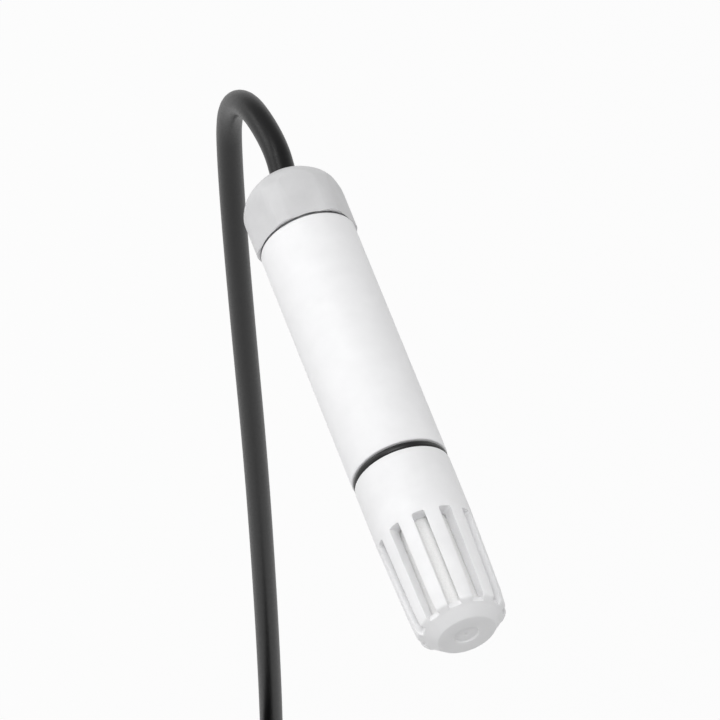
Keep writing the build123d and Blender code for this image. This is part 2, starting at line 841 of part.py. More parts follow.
# Tie round the three strands where the coil closes, with its two ends twisted together
tie_level = coil_point(0).Z
tie_inner_height = cable_diameter + 2 * tie_gap
tie_inner_width = coil_turns * coil_pitch + tie_inner_height
with BuildPart() as coil_tie:
    with BuildSketch(Plane.XY.offset(tie_level - tie_height / 2)):
        with Locations((cable_route[-1][0] - coil_turns * coil_pitch / 2, cable_route[-1][1])):
            SlotOverall(tie_inner_width + 2 * tie_thickness, tie_inner_height + 2 * tie_thickness)
            SlotOverall(tie_inner_width, tie_inner_height, mode=Mode.SUBTRACT)
    extrude(amount=tie_height)
    twist_foot = cable_route[-1][1] + tie_inner_height / 2 + tie_thickness / 2
    with BuildSketch(section(twist_foot)):
        with Locations((cable_route[-1][0] - coil_turns * coil_pitch / 2, tie_level)):
            Circle(tie_twist_radius)
    extrude(amount=-tie_twist_length)
    fillet(coil_tie.edges().filter_by(GeomType.CIRCLE).group_by(Axis.Y)[-1], tie_twist_round)
coil_tie.part.label = "coil_tie"
export_step(coil_tie.part, "parts/coil_tie.step")

# End stretch of the cable, below the coil
end_route = [tuple(coil_end + Vector(*step)) for step in end_route_steps]
for corner, radius in enumerate(corner_radii(end_route), start=1):
    print(f"end corner {corner}: radius {radius:.1f} mm, {radius / cable_diameter:.1f} diameters")
cable_end = swept_tube(end_route, cable_radius, "cable_end")
cable_end.part.label = "cable_end"
export_step(cable_end.part, "parts/cable_end.step")

# Shrunk sleeve over the end of the jacket, drawn in round the bundle of cores
end_run = (Vector(*end_route[-1]) - Vector(*end_route[-2])).normalized()
end_plane = Plane(origin=end_route[-1], x_dir=(1, 0, 0), z_dir=end_run)
bundle_radius = core_pitch_radius + core_radius + seat_gap
jacket_bore = cable_radius + seat_gap
with BuildPart() as end_sleeve:
    with BuildSketch(Plane(origin=end_route[-1], x_dir=end_plane.x_dir, z_dir=-end_plane.y_dir)):
        with BuildLine():
            Polyline(
                (jacket_bore, -end_sleeve_cover),
                (jacket_bore + end_sleeve_wall, -end_sleeve_cover),
                (jacket_bore + end_sleeve_wall, 0),
                (bundle_radius + end_sleeve_wall, end_sleeve_reach - end_sleeve_lip),
                (bundle_radius + end_sleeve_wall, end_sleeve_reach),
                (bundle_radius, end_sleeve_reach),
                (bundle_radius, end_sleeve_lip),
                (jacket_bore, seat_gap),
                close=True,
            )
        make_face()
    revolve(axis=Axis(end_route[-1], end_run))
end_sleeve.part.label = "end_sleeve"
export_step(end_sleeve.part, "parts/end_sleeve.step")

# Four cores that leave the jacket and fan out below it
lead_ends = []
for number, (lead_name, spread) in enumerate(zip(lead_names, lead_spread_shares)):
    angle = math.pi / 4 + number * math.pi / 2
    outward = [core_pitch_radius, core_pitch_radius]
    along = [0, lead_straight]
    for step_out, step_along in lead_steps:
        outward.append(outward[-1] + step_out * spread)
        along.append(along[-1] + step_along)
    lead_route = [
        tuple(end_plane.from_local_coords(Vector(out * math.cos(angle), out * math.sin(angle), far)))
        for out, far in zip(outward, along)
    ]
    lead = swept_tube(lead_route, core_radius, lead_name)
    lead.part.label = lead_name
    export_step(lead.part, f"parts/{lead_name}.step")
    lead_ends.append(Plane(origin=lead_route[-1], z_dir=Vector(*lead_route[-1]) - Vector(*lead_route[-2])))

# Crimped ferrules: a moulded collar against each core and a metal pin beyond it
with BuildPart() as ferrule_collars:
    with BuildSketch(*lead_ends):
        Circle(collar_radius)
    extrude(amount=collar_length)
    chamfer(ferrule_collars.edges().filter_by(GeomType.CIRCLE), ferrule_edge)
ferrule_collars.part.label = "ferrule_collars"
export_step(ferrule_collars.part, "parts/ferrule_collars.step")

with BuildPart() as ferrule_pins:
    with BuildSketch(*[lead_end.offset(collar_length) for lead_end in lead_ends]):
        Circle(ferrule_radius)
    extrude(amount=ferrule_length)
    chamfer(ferrule_pins.edges().filter_by(GeomType.CIRCLE), ferrule_edge)
ferrule_pins.part.label = "ferrule_pins"
export_step(ferrule_pins.part, "parts/ferrule_pins.step")
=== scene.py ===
# %% [markdown]
# # A temperature and humidity probe
# The probe is a white tube the size of a thick pencil, with a slotted filter cap at its tip and a domed
# cable nut at its back. A thin black cable leaves the nut, bends over and hangs down.
# The tube lies along Y with its tip towards -Y, and everything is in metres, in the frame of the CAD model.
# The CAD model gives every place and size, and this lesson gives the probe its surfaces.

# %% Load the frame
import math
import bpy
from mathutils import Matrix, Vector


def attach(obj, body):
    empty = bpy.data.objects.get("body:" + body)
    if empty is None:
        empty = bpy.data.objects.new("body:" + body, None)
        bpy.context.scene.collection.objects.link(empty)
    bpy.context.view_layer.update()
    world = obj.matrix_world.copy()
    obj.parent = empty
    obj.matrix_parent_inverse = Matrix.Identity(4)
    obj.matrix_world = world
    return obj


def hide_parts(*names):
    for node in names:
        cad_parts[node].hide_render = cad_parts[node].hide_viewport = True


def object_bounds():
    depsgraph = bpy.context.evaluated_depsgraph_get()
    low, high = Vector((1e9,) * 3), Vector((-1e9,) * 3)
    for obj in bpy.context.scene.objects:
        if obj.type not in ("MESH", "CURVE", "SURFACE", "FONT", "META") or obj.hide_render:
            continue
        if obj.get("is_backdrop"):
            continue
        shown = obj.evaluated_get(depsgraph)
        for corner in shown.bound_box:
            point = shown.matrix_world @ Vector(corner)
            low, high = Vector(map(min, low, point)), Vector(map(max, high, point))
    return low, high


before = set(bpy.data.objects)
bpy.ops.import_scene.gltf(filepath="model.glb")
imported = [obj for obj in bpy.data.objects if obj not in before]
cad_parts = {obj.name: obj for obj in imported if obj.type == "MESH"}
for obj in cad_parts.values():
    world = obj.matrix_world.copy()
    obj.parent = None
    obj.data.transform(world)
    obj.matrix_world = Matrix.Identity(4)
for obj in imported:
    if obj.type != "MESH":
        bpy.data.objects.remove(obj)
cad_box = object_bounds()
MM = 0.001

# %% [markdown]
# ## The camera
# The photograph looks down at the probe from in front and from its left, with a long lens that keeps the
# tube's sides nearly parallel. A camera could be turned by hand until it fits, but a direction worked out
# from the tube's two ends is exact, so the camera stands on that line, 1.2 m away.

# %% Place the camera
camera_target = Vector((0.808, -0.865, -0.387)) * MM
camera_back = Vector((-0.1797, -0.5371, 0.8241))
camera_distance = 1.2
camera = bpy.data.objects.new("camera", bpy.data.cameras.new("camera"))
bpy.context.collection.objects.link(camera)
camera.data.lens = 377.4
camera.data.sensor_width = 36
camera.data.clip_end = 10
camera.location = camera_target + camera_back * camera_distance
camera.rotation_euler = camera_back.to_track_quat("Z", "Y").to_euler()
bpy.context.scene.camera = camera
print("camera at", [round(value, 3) for value in camera.location])

# %% [markdown]
# ## The cable
# A sensor cable is a round black jacket over four thin cores. It leaves the nut straight, bends over in the
# air and hangs under its own weight. Its line could be an arc joined to a straight run, but a real cable has
# no such joints, so it is one NURBS curve pulled along by a few points, with two tied turns at its end.

# %% Cable points, in millimetres
cable_diameter = 4.3
seal_back = 32.2
cable_steps = [
    (0.0, 0.0, 0.0), (0.4, 4.0, 0.1), (1.0, 10.8, 0.4), (0.45, 21.4, -2.6),
    (-0.1, 28.4, -9.4), (-0.3, 32.2, -18.9), (-0.2, 32.5, -31.0), (0.2, 32.1, -50.0),
    (1.3, 31.9, -80.0), (3.2, 32.0, -124.0), (4.6, 32.4, -170.0), (5.2, 32.3, -206.0),
    (5.2, 32.3, -225.5),
]
cable_points = [Vector((x, seal_back + y, z)) for x, y, z in cable_steps]
print(len(cable_points), "points down to the turns")

# %% The two tied turns and the end below them
coil_radius = 24.0
coil_pitch = 4.9
coil_turns = 2
points_per_turn = 16
coil_start = cable_points[-1]
for number in range(coil_turns * points_per_turn + 1):
    angle = math.tau * number / points_per_turn
    cable_points.append(coil_start + Vector((
        -coil_pitch * angle / math.tau,
        -coil_radius * (1 - math.cos(angle)),
        -cable_diameter - coil_radius * math.sin(angle),
    )))
coil_end = cable_points[-1] + Vector((0, 0, -cable_diameter))
end_steps = [(0, 0, 0), (0, 0, -6), (-0.5, -0.9, -15.4), (-1.3, -1.3, -24.2)]
cable_points += [coil_end + Vector(step) for step in end_steps]
print(len(cable_points), "cable points")


# %% Draw a curve through points
def curve_through(name, places):
    """New curve with one NURBS line, pulled along by places in millimetres."""
    data = bpy.data.curves.new(name, "CURVE")
    data.dimensions = "3D"
    line = data.splines.new("NURBS")
    line.points.add(len(places) - 1)
    for point, place in zip(line.points, places):
        point.co = (*(place * MM), 1)
    line.order_u = 3
    made = bpy.data.objects.new(name, data)
    bpy.context.collection.objects.link(made)
    return made


# %% Draw the cable
cable = curve_through("sensor_cable", cable_points)
cable_line = cable.data.splines[0]
for point in cable_line.points:
    point.radius = cable_diameter / 2 * MM
cable_line.use_endpoint_u = True
cable_line.resolution_u = 16
cable.data.bevel_depth = 1.0
cable.data.bevel_resolution = 10
cable.data.use_fill_caps = True
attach(cable, "housing")
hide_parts("cable_free", "cable_coil", "cable_end")
print("cable", cable_diameter, "mm thick")

# %% [markdown]
# ## Tools for turned parts
# Most of this probe is round about one line, as if made on a lathe. A cylinder could be pushed and scaled
# into each shape, but a drawn outline that is spun once round the axis gives every step, groove and soft
# edge in one go. The helper starts from one point, extrudes it along the outline and spins the line.

# %% Choose one piece
def only(*chosen):
    """Deselects everything, then selects these pieces, the first one active."""
    bpy.ops.object.select_all(action="DESELECT")
    for piece in chosen:
        piece.select_set(True)
    bpy.context.view_layer.objects.active = chosen[0]


# %% Soften the corners of an outline
def eased(outline, steps=4):
    """Outline of (radius, y) points, with a short curve where a point has a third number."""
    softened = []
    count = len(outline)
    for number, (radius, y, *ease) in enumerate(outline):
        here = Vector((radius, y))
        if not ease:
            softened.append(here)
            continue
        before = Vector(outline[number - 1][:2])
        after = Vector(outline[(number + 1) % count][:2])
        start = here + (before - here).normalized() * ease[0]
        end = here + (after - here).normalized() * ease[0]
        for step in range(steps + 1):
            share = step / steps
            softened.append(start.lerp(here, share).lerp(here.lerp(end, share), share))
    return softened


# %% Draw an outline, point by point
def drawn(name, points):
    """New piece in edit mode: a closed line through points in the XY plane, in millimetres."""
    bpy.ops.object.select_all(action="DESELECT")
    bpy.ops.mesh.primitive_plane_add(size=MM)
    piece = bpy.context.object
    piece.name = piece.data.name = name
    bpy.ops.object.mode_set(mode="EDIT")
    bpy.ops.mesh.select_mode(type="VERT")
    bpy.ops.mesh.select_all(action="SELECT")
    bpy.ops.mesh.merge(type="CENTER")
    bpy.ops.transform.translate(value=(points[0].x * MM, points[0].y * MM, 0))
    for here, there in zip(points, points[1:] + points[:1]):
        step = (there - here) * MM
        bpy.ops.mesh.extrude_vertices_move(TRANSFORM_OT_translate={"value": (step.x, step.y, 0)})
    return piece


# %% Weld what meets
def weld(distance=0.002):
    """In edit mode: merges points closer than a distance in millimetres, and turns the faces outwards."""
    bpy.ops.mesh.select_all(action="SELECT")
    bpy.ops.mesh.remove_doubles(threshold=distance * MM)
    bpy.ops.mesh.normals_make_consistent(inside=False)


# %% Spin an outline about the Y axis
def turned(name, outline, steps=144):
    """Round piece about Y, from an outline of (radius, y) in millimetres."""
    piece = drawn(name, eased(outline))
    bpy.ops.mesh.select_all(action="SELECT")
    bpy.ops.mesh.spin(steps=steps, angle=math.tau, center=(0, 0, 0), axis=(0, 1, 0))
    weld()
    bpy.ops.mesh.select_all(action="DESELECT")
    bpy.ops.mesh.select_mode(type="EDGE")
    bpy.ops.mesh.select_non_manifold(extend=False, use_wire=True, use_boundary=False,
                                     use_multi_face=False, use_non_contiguous=False, use_verts=False)
    bpy.ops.mesh.delete(type="EDGE")
    bpy.ops.object.mode_set(mode="OBJECT")
    return piece


# %% Round the edges that pass a test
def round_edges(piece, test, width, segments):
    """Bevels the edges whose two ends, in millimetres, pass the test."""
    only(piece)
    bpy.ops.object.mode_set(mode="EDIT")
    bpy.ops.mesh.select_mode(type="EDGE")
    bpy.ops.mesh.select_all(action="DESELECT")
    bpy.ops.object.mode_set(mode="OBJECT")
    for edge in piece.data.edges:
        edge.select = test(*[piece.data.vertices[number].co / MM for number in edge.vertices])
    bpy.ops.object.mode_set(mode="EDIT")
    bpy.ops.mesh.bevel(offset=width * MM, segments=segments)
    bpy.ops.object.mode_set(mode="OBJECT")


# %% Cut, join or keep what two pieces share
def combine(piece, tool, operation):
    """Applies a boolean of the piece with a tool, and deletes the tool."""
    only(piece)
    joint = piece.modifiers.new("combine", "BOOLEAN")
    joint.operation = operation
    joint.object = tool
    joint.solver = "EXACT"
    bpy.ops.object.modifier_apply(modifier=joint.name)
    only(tool)
    bpy.ops.object.delete()


# %% Round the sharp edges and shade the piece
def finished(piece, body, nodes, width=0.0, segments=2, angle=38):
    """Rounds the edges sharper than angle when a width is given, shades smoothly, ties the piece to its body
    and hides the CAD nodes it replaces.
    """
    only(piece)
    if width:
        rounding = piece.modifiers.new("rounding", "BEVEL")
        rounding.width = width * MM
        rounding.segments = segments
        rounding.limit_method = "ANGLE"
        rounding.angle_limit = math.radians(angle)
        rounding.use_clamp_overlap = True
        bpy.ops.object.modifier_apply(modifier=rounding.name)
    bpy.ops.object.shade_smooth_by_angle(angle=math.radians(angle))
    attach(piece, body)
    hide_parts(*nodes)
    print(piece.name, len(piece.data.polygons), "faces")


# %% [markdown]
# ## Screw threads
# The spigot and the neck of the tube carry moulded threads, one turn every 1.5 mm, on which the cap and
# the nut turn. Rings stacked along the axis would look much the same from afar, but a ring isn't a
# thread: here one tooth is drawn and a Screw modifier carries it round and along at the same time.

# %% Wind one tooth into a thread
thread_pitch = 1.5
foot_half_width = 0.62
crest_half_width = 0.16


def wound_thread(name, foot, crest, first_y, turns=3, steps=72):
    """Ridge of a right-handed thread. Its foot is sunk in the wall that carries it."""
    middle = (foot + crest) / 2
    bpy.ops.object.select_all(action="DESELECT")
    bpy.ops.mesh.primitive_plane_add(size=MM, location=(middle * MM, first_y * MM, 0))
    ridge = bpy.context.object
    ridge.name = name
    bpy.ops.object.transform_apply(location=True)
    for corner in ridge.data.vertices:
        at_crest = (corner.co.x > middle * MM) == (crest > foot)
        half_width = crest_half_width if at_crest else foot_half_width
        side = 1 if corner.co.y > first_y * MM else -1
        corner.co = ((crest if at_crest else foot) * MM, (first_y + side * half_width) * MM, 0)
    only(ridge)
    winding = ridge.modifiers.new("winding", "SCREW")
    winding.axis = "Y"
    winding.screw_offset = thread_pitch * MM
    winding.iterations = turns
    winding.steps = winding.render_steps = steps
    bpy.ops.object.modifier_apply(modifier=winding.name)
    bpy.ops.object.mode_set(mode="EDIT")
    weld(distance=0.001)
    bpy.ops.mesh.fill_holes(sides=8)
    bpy.ops.mesh.normals_make_consistent(inside=False)
    bpy.ops.object.mode_set(mode="OBJECT")
    return ridge


# %% [markdown]
# ## The tube
# The tube is moulded in white plastic, plain outside, with soft edges that catch the light. Its spigot takes
# the cap at the tip, its neck takes the nut, and inside are a straight bore, a back wall with a hole for the
# cable and a groove for the board. It is turned from one outline, and the threads and the groove follow.

# %% Turn the tube
body_radius = 8.0
tube_end = 23.0
bore_radius = 5.4
thread_crest = 6.5
thread_root = 5.95
spigot_front = -31.0
seat_front = -24.9
neck_back = 30.0
neck_bore = 4.7
wall_front = 20.9
wall_back = 23.5
hole_radius = 2.35
tube_shell = turned("body_shell", [
    (bore_radius, spigot_front), (thread_root - 0.2, spigot_front, 0.08),
    (thread_root, spigot_front + 0.25, 0.08), (thread_root, seat_front - 0.4), (thread_crest, seat_front),
    (thread_crest, -tube_end, 0.1), (body_radius, -tube_end, 0.25), (body_radius, -tube_end + 15),
    (body_radius, tube_end - 15), (body_radius, tube_end, 0.25), (thread_crest, tube_end, 0.1),
    (thread_crest, wall_back), (thread_root, wall_back + 0.3), (thread_root, neck_back - 0.25, 0.08),
    (thread_root - 0.2, neck_back, 0.08), (neck_bore, neck_back), (neck_bore, wall_back),
    (hole_radius, wall_back, 0.1), (hole_radius, wall_front, 0.1), (bore_radius, wall_front),
])
print("tube", spigot_front, "to", neck_back, "mm")

# %% Add its threads and its board groove
thread_foot = thread_root - 0.15
groove_size = (11.1, 43.9, 1.1)
groove_middle = -9.15
combine(tube_shell, wound_thread("spigot_thread", thread_foot, thread_crest, spigot_front + 0.85), "UNION")
combine(tube_shell, wound_thread("neck_thread", thread_foot, thread_crest, wall_back + 1.2), "UNION")
bpy.ops.mesh.primitive_cube_add(size=MM, location=(0, groove_middle * MM, 0), scale=groove_size)
groove = bpy.context.object
bpy.ops.object.transform_apply(location=True, scale=True)
combine(tube_shell, groove, "DIFFERENCE")
finished(tube_shell, "housing", ["housing_tube"], angle=32)

# %% [markdown]
# ## The filter cap
# The cap screws onto the spigot. Eleven long slots let air reach the sensor: they have square upper ends, run
# over the bevelled tip and leave eleven ribs that meet in a small round end. Ribs could be copied round
# the axis, but real slots are milled out of a turned shell, so eleven cutters do the same here.

# %% Turn the cap
cap_rim = -24.35
cap_tip = -55.45
cap_floor = -52.9
cap_radius = 7.95
cap_bore = 7.05
cage_bore = 5.65
ledge = -32.0
cage = turned("filter_cage", [
    (cap_bore, cap_rim, 0.12), (cap_radius, cap_rim, 0.2), (cap_radius, cap_rim - 10.6), (7.55, -50.2),
    (7.3, -53.2, 0.35), (6.3, -53.85, 0.25), (4.75, cap_tip, 0.2), (2.1, cap_tip, 0.1),
    (1.9, cap_tip + 0.3, 0.05), (0.45, cap_tip + 0.2, 0.08), (0, cap_tip + 0.55), (0, cap_floor),
    (cage_bore, cap_floor, 0.2), (cage_bore, ledge, 0.1), (6.58, ledge), (cap_bore, ledge + 0.5),
], steps=132)
combine(cage, wound_thread("cap_thread", cap_bore + 0.15, 6.6, ledge + 1.4), "UNION")
print("cap", cap_rim, "to", cap_tip, "mm")

# %% Draw the slot cutter
slot_width = 2.05
slot_top = cap_rim - 11.75
cutter_inside = 4.9
cutter_outside = 9.0
rib_end = 6.5
cutter = drawn("slot_cutter", [Vector(point) for point in (
    (cutter_inside, slot_top), (cutter_outside, slot_top), (cutter_outside, cap_tip - 1),
    (rib_end, cap_tip - 1), (rib_end, cap_floor), (cutter_inside, cap_floor),
)])
weld()
bpy.ops.mesh.edge_face_add()
bpy.ops.transform.translate(value=(0, 0, -slot_width / 2 * MM))
bpy.ops.mesh.extrude_region_move(TRANSFORM_OT_translate={"value": (0, 0, slot_width * MM)})
bpy.ops.mesh.select_all(action="SELECT")
bpy.ops.mesh.normals_make_consistent(inside=False)
bpy.ops.object.mode_set(mode="OBJECT")
round_edges(cutter, lambda a, b: min(a.y, b.y) > slot_top - 0.01, width=0.3, segments=4)
print("slot cutter", len(cutter.data.polygons), "faces")

# %% Mill the eleven slots
slot_count = 11
first_slot_angle = math.radians(101.6)
cutters = []
for number in range(slot_count):
    only(cutter)
    bpy.ops.object.duplicate()
    turned_cutter = bpy.context.object
    turned_cutter.rotation_euler = (0, -first_slot_angle - math.tau * number / slot_count, 0)
    bpy.ops.object.transform_apply(rotation=True)
    cutters.append(turned_cutter)
only(cutter)
bpy.ops.object.delete()
only(*cutters)
bpy.ops.object.join()
combine(cage, cutters[0], "DIFFERENCE")
finished(cage, "cap", ["filter_cap"], width=0.09, segments=2, angle=32)

# %% [markdown]
# ## The porous sleeve
# Behind the slots stands a thimble of pressed white grains, which keeps dust off the sensor. It is turned
# like the rest, with a flange that the cap clamps and a well rounded end, and its material has the grains.

# %% Turn the sleeve
sleeve_bore = 4.75
sleeve_radius = 5.45
sleeve_end = -52.75
flange_radius = 6.1
flange_front = -31.05
flange_back = -31.85
sleeve = turned("porous_thimble", [
    (sleeve_bore, flange_front), (flange_radius, flange_front, 0.15), (flange_radius, flange_back, 0.15),
    (sleeve_radius, flange_back, 0.1), (sleeve_radius, sleeve_end, 0.5), (0, sleeve_end),
    (0, sleeve_end + 0.85), (sleeve_bore, sleeve_end + 0.85, 0.5),
], steps=120)
finished(sleeve, "sleeve", ["filter_sleeve"])

# %% [markdown]
# ## The seal ring
# A black rubber ring is squeezed between the tube and the cap, and shows as a thin dark line. A torus is the
# right start, and it is flattened a little, because the ring is squeezed.

# %% Squeeze the ring
ring_inner = 6.58
ring_outer = 7.88
ring_width = 1.3
ring_middle = -23.675
bpy.ops.object.select_all(action="DESELECT")
bpy.ops.mesh.primitive_torus_add(
    major_radius=(ring_inner + ring_outer) / 2 * MM, minor_radius=(ring_outer - ring_inner) / 2 * MM,
    major_segments=144, minor_segments=24, rotation=(math.pi / 2, 0, 0),
)
ring = bpy.context.object
ring.name = ring.data.name = "seal_band"
bpy.ops.object.transform_apply(rotation=True)
ring.scale = (1, ring_width / (ring_outer - ring_inner), 1)
ring.location = (0, ring_middle * MM, 0)
bpy.ops.object.transform_apply(location=True, scale=True)
finished(ring, "seal_ring", ["o_ring"])

# %% [markdown]
# ## The cable nut
# The nut is a hexagon with well rounded corners, and its back is turned to a dome, so each flat ends in an
# arc. Both cuts are made as on the real part: a rounded hexagon and a turned dome, of which the
# nut keeps what they share, and then the threaded bore and the mouth for the cable.

# %% Make the rounded hexagon
nut_front = 23.3
nut_back = 36.9
flat_radius = 7.8
first_corner_angle = math.radians(57.8)
bpy.ops.object.select_all(action="DESELECT")
bpy.ops.mesh.primitive_cylinder_add(
    vertices=6, radius=flat_radius / math.cos(math.pi / 6) * MM, depth=(nut_back - nut_front) * MM,
    location=(0, (nut_front + nut_back) / 2 * MM, 0), rotation=(math.pi / 2, 0, 0),
)
nut = bpy.context.object
nut.name = nut.data.name = "domed_nut"
bpy.ops.object.transform_apply(location=True, rotation=True)
corner = next(corner.co for corner in nut.data.vertices if corner.co.y > nut_front * MM)
nut.rotation_euler = (0, math.atan2(corner.z, corner.x) - first_corner_angle, 0)
bpy.ops.object.transform_apply(rotation=True)
round_edges(nut, lambda a, b: abs(a.y - b.y) > 1, width=1.7, segments=12)
print("hexagon", len(nut.data.polygons), "faces")

# %% Turn its dome and its bore
corner_radius = 8.9
dome_top = 35.6
nut_bore = 7.1
bore_end = 33.5
mouth_radius = 3.3
dome = turned("dome_tool", [
    (0, nut_front), (corner_radius - 0.5, nut_front, 0.1), (corner_radius - 0.2, nut_front + 0.45, 0.2),
    (8.35, 31.0, 0.7), (7.35, 33.1, 0.9), (5.6, 34.7, 0.9), (4.1, dome_top), (0, dome_top),
])
combine(nut, dome, "INTERSECT")
bore = turned("bore_tool", [
    (0, nut_front - 1), (nut_bore + 0.85, nut_front - 1), (nut_bore + 0.85, nut_front + 0.05),
    (nut_bore, nut_front + 0.9), (nut_bore, 30.6), (5.15, bore_end), (mouth_radius, bore_end),
    (mouth_radius, dome_top - 0.6, 0.15), (mouth_radius + 0.5, dome_top - 0.05),
    (mouth_radius + 0.5, nut_back + 1), (0, nut_back + 1),
])
combine(nut, bore, "DIFFERENCE")
combine(nut, wound_thread("nut_thread", nut_bore + 0.15, 6.62, nut_front + 1.3), "UNION")
finished(nut, "nut", ["gland_nut"], width=0.22, segments=3, angle=24)

# %% [markdown]
# ## The tie round the turns
# The spare cable is wound in two turns, and a black tie holds the three strands where they pass each other.
# Its band is a flat strap, and its two ends are twisted together, which two helices show better
# than one plain rod.

# %% Bend the strap
half_run = coil_turns * coil_pitch / 2
tie_middle = coil_start + Vector((-half_run, 0, -cable_diameter))
strap_half_width = 2.55
strap_half_thickness = 0.45
strap_gap = 0.45
strap_radius = cable_diameter / 2 + strap_gap + strap_half_thickness
strap_steps = 12
strap_points = []
for side in (1, -1):
    for step in range(strap_steps + 1):
        angle = math.pi * step / strap_steps - math.pi / 2
        across = half_run + strap_radius * math.cos(angle)
        strap_points.append(Vector((side * across, side * strap_radius * math.sin(angle), 0)))
strap = curve_through("cable_tie", strap_points)
strap.data.dimensions = "2D"
strap.data.fill_mode = "NONE"
strap.data.splines[0].use_cyclic_u = True
strap.data.extrude = strap_half_width * MM
strap.data.bevel_depth = strap_half_thickness * MM
strap.data.bevel_resolution = 3
strap.location = tie_middle * MM
print("strap round", coil_turns + 1, "strands")

# %% Twist its ends
twist_turns = 2
twist_length = 7.0
twist_points = 26
strand_radius = 0.58
strand_spread = 0.62
tip_spread = 0.8
strands = []
for start in (0, math.pi):
    places = []
    for number in range(twist_points):
        share = number / (twist_points - 1)
        angle = start + math.tau * twist_turns * share
        spread = strand_spread if number < twist_points - 3 else tip_spread
        reach = strap_radius - 0.2 + twist_length * share
        places.append(tie_middle + Vector((spread * math.cos(angle), reach, spread * math.sin(angle))))
    strand = curve_through("tie_end", places)
    strand.data.splines[0].use_endpoint_u = True
    strand.data.bevel_depth = strand_radius * MM
    strand.data.bevel_resolution = 4
    strand.data.use_fill_caps = True
    strands.append(strand)
only(strap, *strands)
bpy.ops.object.convert(target="MESH")
bpy.ops.object.join()
bpy.ops.object.transform_apply(location=True)
bpy.ops.object.mode_set(mode="EDIT")
weld(distance=0.012)
bpy.ops.object.mode_set(mode="OBJECT")
finished(strap, "housing", ["coil_tie"])

# %% [markdown]
# ## The sleeve at the end of the jacket
# Where the jacket ends, a shrunk black sleeve holds it and draws in round the four cores. It is turned about
# Y and then laid along the cable's last run, with its place applied to the mesh.

# %% Shrink the end sleeve
cover_inside = cable_diameter / 2 + 0.03
cover_outside = cable_diameter / 2 + 0.55
cover_start = -4.4
cover_end = 3.6
end_run = (cable_points[-1] - cable_points[-2]).normalized()
end_cover = turned("jacket_end", [
    (cover_inside, cover_start, 0.03), (cover_outside, cover_start, 0.2), (cover_outside, -0.4, 0.6),
    (2.05, 2.4, 0.6), (2.0, cover_end, 0.15), (1.5, cover_end, 0.15), (1.45, 0.8), (cover_inside, 0.1),
], steps=64)
end_cover.rotation_euler = end_run.to_track_quat("Y", "Z").to_euler()
end_cover.location = cable_points[-1] * MM
only(end_cover)
bpy.ops.object.transform_apply(location=True, rotation=True)
finished(end_cover, "housing", ["end_sleeve"])

# %% [markdown]
# ## What goes with the cable
# The tie, the end sleeve, the four leads and their ferrules go with the cable.

# %% [markdown]
# ## Finishes
# Every finish is built from nodes: a colour that varies a little in patches, and a fine grain that changes
# the roughness and raises the surface. Painted pictures would need files and would stretch on round parts,
# while noise in Object coordinates keeps its real size on every piece.

# %% Nodes with less typing
def put(tree, socket, value):
    """Sets a socket to a value, or links it to the output of another node."""
    if isinstance(value, bpy.types.NodeSocket):
        tree.links.new(value, socket)
    else:
        socket.default_value = value


def fill(tree, node, **inputs):
    """Gives a node's inputs, by their names, a value or the output of another node."""
    for name, value in inputs.items():
        put(tree, node.inputs[name.replace("_", " ")], value)
    return node


def add(tree, kind, **inputs):
    """Adds a node with these inputs."""
    return fill(tree, tree.nodes.new(kind), **inputs)


# %% Numbers and colours worked out by nodes
def worked_out(tree, operation, *numbers):
    """Number that a Math node works out."""
    made = add(tree, "ShaderNodeMath")
    made.operation = operation
    for socket, number in zip(made.inputs, numbers):
        put(tree, socket, number)
    return made.outputs[0]


def two_tones(tree, share, first, second, start=0.0, stop=1.0):
    """Colour that goes from the first to the second while the share goes from start to stop."""
    made = add(tree, "ShaderNodeValToRGB", Fac=share)
    low, high = made.color_ramp.elements
    low.position, high.position = start, stop
    low.color, high.color = first, second
    return made.outputs[0]


def blended(tree, share, first, second):
    """Colour between two others: the first at a share of 0, the second at 1."""
    made = add(tree, "ShaderNodeMix", Factor=share)
    made.data_type = "RGBA"
    put(tree, made.inputs[6], first)
    put(tree, made.inputs[7], second)
    return made.outputs[2]


# %% Colours as they look on a screen
def tone(red, green, blue):
    """Colour from 0 to 255 as seen on a screen, as Blender's linear light."""
    shares = [value / 255 for value in (red, green, blue)]
    return tuple(v / 12.92 if v <= 0.04045 else ((v + 0.055) / 1.055) ** 2.4 for v in shares) + (1.0,)


# %% A finish to start from
def new_finish(name):
    """New material, with its node tree, its surface node and its Object coordinates."""
    material = bpy.data.materials.new(name)
    material.use_nodes = True
    tree = material.node_tree
    return material, tree, tree.nodes["Principled BSDF"], add(tree, "ShaderNodeTexCoord").outputs["Object"]


# %% A moulded finish
def moulded(name, dark, light, rough, patch=4.0, grain=0.25, depth=0.004, shine=0.5,
            glow=0.0, metal=0.0):
    """Moulded plastic, rubber or metal: patches of two near tones, and a fine grain. Sizes in millimetres."""
    material, tree, surface, place = new_finish(name)
    patches = add(tree, "ShaderNodeTexNoise", Vector=place, Scale=1 / (patch * MM), Detail=4.0,
                  Roughness=0.55)
    grains = add(tree, "ShaderNodeTexNoise", Vector=place, Scale=1 / (grain * MM), Detail=3.0,
                 Roughness=0.6)
    sheen = add(tree, "ShaderNodeMapRange", Value=grains.outputs[0], From_Min=0.3, From_Max=0.7,
                To_Min=rough - 0.05, To_Max=rough + 0.06)
    relief = add(tree, "ShaderNodeBump", Height=grains.outputs[0], Strength=1.0, Distance=depth * MM)
    fill(
        tree, surface, Base_Color=two_tones(tree, patches.outputs[0], dark, light, start=0.3, stop=0.7),
        Roughness=sheen.outputs[0], Normal=relief.outputs[0], Specular_IOR_Level=shine, Metallic=metal,
        Subsurface_Weight=glow, Subsurface_Radius=(1.0, 1.0, 1.0), Subsurface_Scale=1.2 * MM,
    )
    return material


